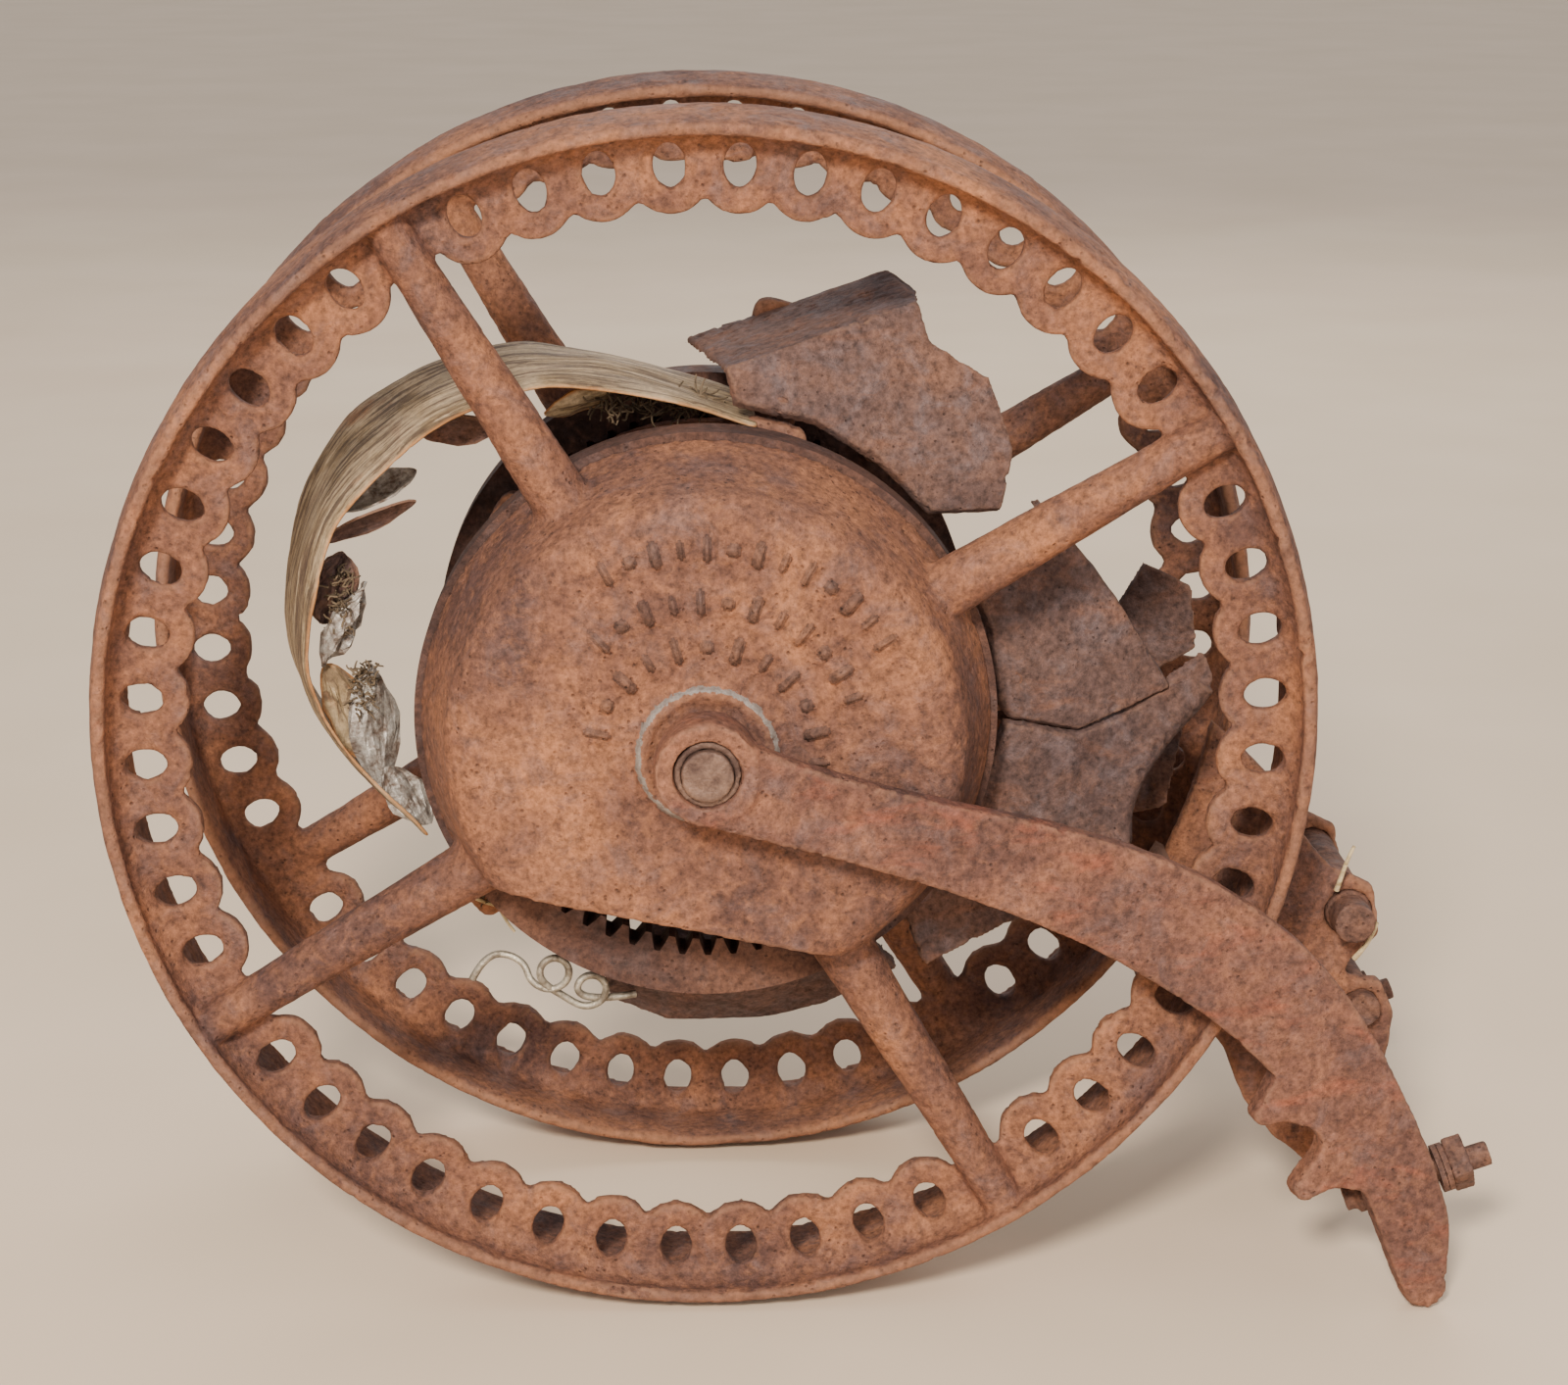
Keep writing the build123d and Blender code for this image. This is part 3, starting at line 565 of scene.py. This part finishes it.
def sheet_mesh(name, rows, thick_mm, levels=1):
    """Closed thin sheet from rows of points, thickened by Solidify."""
    count = len(rows[0])
    vertices = [point for row in rows for point in row]
    faces = []
    for row in range(len(rows) - 1):
        for column in range(count - 1):
            corner = row * count + column
            faces.append((corner, corner + 1, corner + count + 1, corner + count))
    mesh = bpy.data.meshes.new(name)
    mesh.from_pydata(vertices, [], faces)
    work = bpy.data.objects.new("work", mesh)
    bpy.context.scene.collection.objects.link(work)
    thicken = work.modifiers.new("thicken", "SOLIDIFY")
    thicken.thickness = thick_mm * MM
    thicken.offset = 0
    rounded = work.modifiers.new("rounded", "SUBSURF")
    rounded.levels = levels
    return evaluated(work)


def strip_skin():
    """Bowed band with a rippled face and wavy edges, which roll inwards a little."""
    near = smooth_line(STRIP_NEAR, STRIP_STEPS)
    far = smooth_line(STRIP_FAR, STRIP_STEPS)
    inside_x, inside_z = STRIP_INSIDE
    rows = []
    for row_index in range(STRIP_ROWS + 1):
        t = row_index / STRIP_ROWS
        row = []
        for index, (start, end) in enumerate(zip(near, far)):
            ripple = noise.noise(Vector((index * 0.09, t * 2.2, 4.0)))
            roll = ROLL * (math.exp(-t * ROLL_FALL) + math.exp(-(1 - t) * ROLL_FALL))
            x, z = start + (end - start) * t
            pull = Vector((inside_x - x, 0, inside_z - z)).normalized() * (RIPPLE * ripple + roll)
            edge = WANDER * noise.noise(Vector((index * 0.21, t, 9.0)))
            y = STRIP_NEAR_Y + (STRIP_FAR_Y - STRIP_NEAR_Y) * t + edge
            row.append(at(x + pull.x, y, z + pull.z))
        rows.append(row)
    mesh = sheet_mesh("curved_strip_skin", rows, STRIP_THICK)
    corrode(mesh, shallow_mm=0.25, deep_mm=0.3, seed=40)
    piece = new_object("curved_strip_skin", mesh, finishes["strip_patina"])
    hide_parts("curved_strip")
    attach(piece, "reel")


FLAKE_STEPS = 13
FLAKE_THICK = 0.6
FIBRE_RADIUS = 0.32
GRASS_RADIUS = 0.55
STRAW_RADIUS = 0.75


def flake(name, centre, along, across, size, cup, crumple, material, seed, square):
    """Bent oval flake of size (length, width): cupped and crumpled, squarer as square rises."""
    along = Vector(along).normalized()
    side = Vector(across)
    side = (side - along * side.dot(along)).normalized()
    up = along.cross(side)
    length, width = size
    rows = []
    for row_index in range(FLAKE_STEPS + 1):
        u = math.sin((row_index / FLAKE_STEPS - 0.5) * math.pi * 0.99)
        half = (1 - abs(u) ** square) ** (1 / square)
        row = []
        for column in range(FLAKE_STEPS + 1):
            v = (2 * column / FLAKE_STEPS - 1) * half
            rough = noise.noise(Vector((u * 1.6, v * 1.6, seed * 2.7)))
            fine = noise.noise(Vector((u * 5, v * 5, seed * 1.9)))
            height = cup * v * v + cup * 0.5 * u * u + crumple * (rough + 0.35 * fine)
            ragged = 1 + 0.12 * noise.noise(Vector((u * 4, seed * 1.3, column)))
            offset = along * u * length / 2 + side * v * ragged * width / 2 + up * height
            row.append(at(*centre) + offset * MM)
        rows.append(row)
    piece = new_object(name, sheet_mesh(name, rows, FLAKE_THICK, 0), material, smooth=False)
    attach(piece, "reel")
    return piece


def fibres(name, body, material, lines, radius_mm, taper=0.5):
    """Thin stalks along smooth lines, in one curve object."""
    data = bpy.data.curves.new(name, "CURVE")
    data.dimensions = "3D"
    data.bevel_depth = radius_mm * MM
    data.bevel_resolution = 2
    data.use_fill_caps = True
    for points in lines:
        spline = data.splines.new("NURBS")
        spline.points.add(len(points) - 1)
        for index, (target, point) in enumerate(zip(spline.points, points)):
            target.co = (*at(*point), 1)
            target.radius = 1.0 - taper * index / len(points)
        spline.order_u = min(4, len(points))
        spline.use_endpoint_u = True
    data.materials.append(material)
    piece = bpy.data.objects.new(name, data)
    bpy.context.scene.collection.objects.link(piece)
    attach(piece, body)
    return piece


def clump(name, centre, spread, count, length, seed):
    """Tangle of short curled fibres."""
    random = np.random.default_rng(seed)
    lines = []
    for _ in range(count):
        start = np.array(centre) + random.uniform(-1, 1, 3) * spread
        heading = random.normal(0, 1, 3) * (1.0, 0.6, 0.45)
        heading *= length / np.linalg.norm(heading)
        points = [start]
        for _ in range(4):
            heading = heading + random.normal(0, 0.6 * length, 3)
            heading *= length / np.linalg.norm(heading)
            points.append(points[-1] + heading)
        lines.append(points)
    return fibres(name, "reel", moss, lines, FIBRE_RADIUS)


# Points of the wire and centres of its loops, in mm about the axle
WIRE_START = [(-61.5, -32, -75), (-58, -32, -68), (-52, -32, -67.5), (-47, -33, -71)]
WIRE_LOOPS = [(-42, -34, -72.5), (-32.5, -32, -78)]
WIRE_END = [(-25, -31, -81), (-19, -29, -80.5)]
WIRE_RADIUS = 1.0
LOOP_RADIUS = 5.4
LOOP_START_DEGREES = 200
LOOP_STEPS = 6
STEP_RIGHT = 0.5
STEP_NEAR = 0.45


def wire_line():
    """Galvanised wire: a hooked start, two open loops and an end that lies below the loose pin."""
    points = list(WIRE_START)
    for x, y, z in WIRE_LOOPS:
        for step in range(LOOP_STEPS + 1):
            angle = math.radians(LOOP_START_DEGREES + 360 / LOOP_STEPS * step)
            right = x + LOOP_RADIUS * math.cos(angle) + STEP_RIGHT * step
            points.append((right, y - STEP_NEAR * step, z + LOOP_RADIUS * math.sin(angle)))
    return points + WIRE_END


strip_skin()
patina = finishes["strip_patina"]
plate = finishes["plate_rust"]
oval = flake("oval_leaf", (-32, -15, 73.5), (1, 0, 0.35), (0, 1, -0.9), (18, 10),
             cup=1.2, crumple=0.7, material=patina, seed=1, square=1.5)
flake("half_leaf", (-62, -18, 68.5), (1, 0, 0.1), (0.1, 0.6, -1), (20, 10),
      cup=-1.6, crumple=0.7, material=plate, seed=2, square=1.8)
flake("vane_under", (-86, -22, 45.5), (1, 0.1, 0.42), (0.3, 1, -0.6), (27, 11),
      cup=-1.2, crumple=0.5, material=plate, seed=3, square=1.4)
flake("vane_over", (-84, -19, 52), (1, 0.2, 0.42), (0.2, 0.9, 0.8), (24, 12),
      cup=2.4, crumple=0.6, material=foil, seed=11, square=1.4)
flake("crumpled_foil", (-92, -23, 18), (0.55, 0.1, 1), (1, 0.9, -0.4), (25, 9),
      cup=2.6, crumple=4.2, material=foil, seed=4, square=1.5)
flake("crumpled_back", (-95, -20, 27), (0.35, 0.2, 1), (1, 0.5, -0.2), (19, 12),
      cup=1.5, crumple=3.5, material=plate, seed=12, square=1.8)
flake("lower_sail", (-85, -25, -8), (-0.1, 0.1, 1), (1, 0.6, 0.2), (33, 15),
      cup=2.0, crumple=2.0, material=foil, seed=5, square=1.35)
flake("lower_back", (-91, -22, -6), (-0.5, 0.1, 1), (1, 0.7, 0.3), (30, 13),
      cup=1.4, crumple=2.6, material=patina, seed=13, square=1.8)
flake("toe_flake", (-77, -28, -26), (-0.75, 0, 1), (1, 0.6, 0.5), (19, 11),
      cup=1.2, crumple=1.6, material=foil, seed=6, square=1.6)
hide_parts("strip_tabs")
clump("fibre_clump", (-13, -12, 73.5), spread=(15, 6, 2.2), count=150, length=1.5, seed=7)
clump("strip_dust", (-93, -22, 24), spread=(3, 6, 8), count=130, length=0.8, seed=8)
clump("lower_dust", (-88, -24, 2), spread=(3, 5, 6), count=110, length=0.8, seed=9)
clump("tuft_dust", (-56, -33, -49), spread=(6, 2, 4), count=50, length=1.3, seed=10)
zinc = finishes["wire_zinc"]
wire = fibres("wire_loops", "reel", zinc, [wire_line()], WIRE_RADIUS, taper=0.0)
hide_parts("wire_hook")
fibres("grass_tuft", "reel", straw, [
    [(-62, -34, -47), (-57, -35, -50), (-52, -35.5, -54), (-47, -35, -58)],
    [(-60, -34, -52), (-56, -35, -54), (-50, -35, -55), (-45, -34, -54)],
    [(-58, -33, -46), (-55, -35, -52), (-53, -35.5, -57), (-50, -35, -61)],
    [(-61, -33, -50), (-54, -36, -51), (-49, -36, -52), (-44, -35, -50)],
], GRASS_RADIUS)
fibres("frame_straw", "frame", straw, [
    [(164.5, -31, -53), (165.5, -32, -49), (166, -33, -45), (168, -34, -40)],
    [(170, -31, -72), (172, -32, -69), (174, -33, -66), (175, -34, -61)],
], STRAW_RADIUS)
